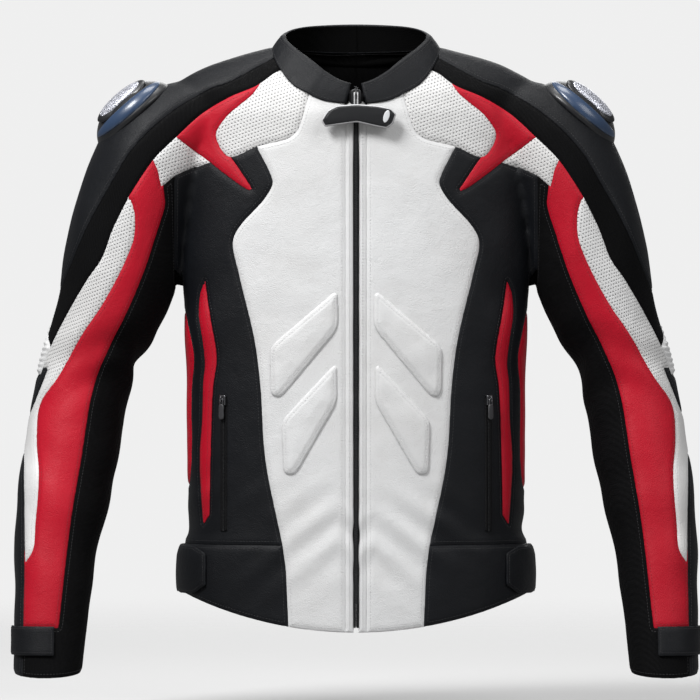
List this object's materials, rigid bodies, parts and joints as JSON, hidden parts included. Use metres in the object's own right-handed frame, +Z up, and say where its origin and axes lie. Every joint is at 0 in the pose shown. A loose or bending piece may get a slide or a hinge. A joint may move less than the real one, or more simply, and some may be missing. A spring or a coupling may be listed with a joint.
{
  "type": "leather riding jacket",
  "caption": "Zip-front leather riding jacket in white, black and red with stand collar, moulded shoulder armour, rib pads and pre-curved sleeves.",
  "frame": {"origin": "centre of the neck opening at the height of the front collar seam", "axes": "+Z up along the standing wearer, -Y the way the wearer faces, +X the wearer's left"},
  "size_m": [0.7502, 0.2624, 0.7119],
  "materials": {
    "white": "smooth leather, satin",
    "perforated": "perforated leather, matt",
    "red": "smooth leather, satin",
    "black": "smooth leather, satin",
    "stretch": "ribbed stretch weave, matt",
    "lining": "mesh lining, matt",
    "tape": "woven tape with moulded teeth",
    "metal": "dark coated",
    "moulded": "moulded soft plastic, satin",
    "badge": "plain pale inset",
    "mesh": "silvered mesh insert"
  },
  "bodies": {
    "jacket": {"front_panel_right": "white", "front_panel_left": "white", "chest_perforated_right": "perforated", "chest_perforated_left": "perforated", "chest_flash_right": "red", "chest_flash_left": "red", "shoulder_patch_right": "perforated", "shoulder_patch_left": "perforated", "chest_side_right": "black", "chest_side_left": "black", "front_stripe_right": "red", "front_stripe_left": "red", "back_panel": "black", "waistband": "black", "shoulder_leather_right": "black", "shoulder_leather_left": "black", "shoulder_stretch_right": "stretch", "shoulder_stretch_left": "stretch", "upper_perforated_right": "perforated", "upper_perforated_left": "perforated", "upper_red_right": "red", "upper_red_left": "red", "upper_inner_right": "stretch", "upper_inner_left": "stretch", "elbow_bellows_right": "white", "elbow_bellows_left": "white", "elbow_front_right": "red", "elbow_front_left": "red", "collar": "black", "lining": "lining", "zip_tape_right": "tape", "zip_tape_left": "tape", "rib_pad_upper_right": "white", "rib_pad_upper_left": "white", "rib_pad_lower_right": "white", "rib_pad_lower_left": "white", "armour_base_right": "moulded", "armour_base_left": "moulded", "armour_insert_right": "mesh", "armour_insert_left": "mesh"},
    "forearm_right": {"forearm_outer_right": "black", "forearm_white_right": "white", "forearm_red_right": "red", "forearm_inner_right": "stretch"},
    "cuff_strap_right": {"cuff_strap_right": "moulded"},
    "waist_strap_right": {"waist_strap_right": "moulded"},
    "pocket_slider_right": {"pocket_slider_right": "metal"},
    "pocket_pull_right": {"pocket_pull_right": "metal"},
    "forearm_left": {"forearm_outer_left": "black", "forearm_white_left": "white", "forearm_red_left": "red", "forearm_inner_left": "stretch"},
    "cuff_strap_left": {"cuff_strap_left": "moulded"},
    "waist_strap_left": {"waist_strap_left": "moulded"},
    "pocket_slider_left": {"pocket_slider_left": "metal"},
    "pocket_pull_left": {"pocket_pull_left": "metal"},
    "zip_slider": {"zip_slider": "metal"},
    "zip_pull": {"zip_pull": "moulded", "pull_badge": "badge"}
  },
  "joints": [
    {"name": "zip_travel", "type": "slide", "parent": "jacket", "child": "zip_slider", "axis": [0, -0.0698, -0.9976], "range_m": [0, 0.52]},
    {"name": "zip_pull_swing", "type": "hinge", "parent": "zip_slider", "child": "zip_pull", "pos_m": [0, -0.08407, 0.00371], "axis": [-1, 0, 0], "range_deg": [0, 165]},
    {"name": "elbow_right", "type": "hinge", "parent": "jacket", "child": "forearm_right", "pos_m": [-0.291, -0.008, -0.279], "axis": [-1, 0, 0], "range_deg": [-10, 90], "deforming": ["elbow_bellows_right", "elbow_front_right"]},
    {"name": "cuff_strap_right_open", "type": "hinge", "parent": "forearm_right", "child": "cuff_strap_right", "pos_m": [-0.3701, -0.084, -0.59], "axis": [0.0724, 0, -0.9974], "range_deg": [0, 90]},
    {"name": "waist_strap_right_open", "type": "hinge", "parent": "jacket", "child": "waist_strap_right", "pos_m": [-0.1918, 0.03, -0.515], "axis": [0, 0, -1], "range_deg": [0, 90]},
    {"name": "pocket_right_travel", "type": "slide", "parent": "jacket", "child": "pocket_slider_right", "axis": [-0.029, -0.0406, -0.9988], "range_m": [0, 0.135]},
    {"name": "pocket_right_pull_swing", "type": "hinge", "parent": "pocket_slider_right", "child": "pocket_pull_right", "pos_m": [-0.14693, -0.07479, -0.32875], "axis": [-0.8139, 0.581, 0], "range_deg": [0, 150]},
    {"name": "elbow_left", "type": "hinge", "parent": "jacket", "child": "forearm_left", "pos_m": [0.291, -0.008, -0.279], "axis": [-1, 0, 0], "range_deg": [-10, 90], "deforming": ["elbow_bellows_left", "elbow_front_left"]},
    {"name": "cuff_strap_left_open", "type": "hinge", "parent": "forearm_left", "child": "cuff_strap_left", "pos_m": [0.3701, -0.084, -0.59], "axis": [0.0724, 0, 0.9974], "range_deg": [0, 90]},
    {"name": "waist_strap_left_open", "type": "hinge", "parent": "jacket", "child": "waist_strap_left", "pos_m": [0.1918, 0.03, -0.515], "axis": [0, 0, 1], "range_deg": [0, 90]},
    {"name": "pocket_left_travel", "type": "slide", "parent": "jacket", "child": "pocket_slider_left", "axis": [0.029, -0.0406, -0.9988], "range_m": [0, 0.135]},
    {"name": "pocket_left_pull_swing", "type": "hinge", "parent": "pocket_slider_left", "child": "pocket_pull_left", "pos_m": [0.14693, -0.07479, -0.32875], "axis": [-0.8139, -0.581, 0], "range_deg": [0, 150]}
  ]
}
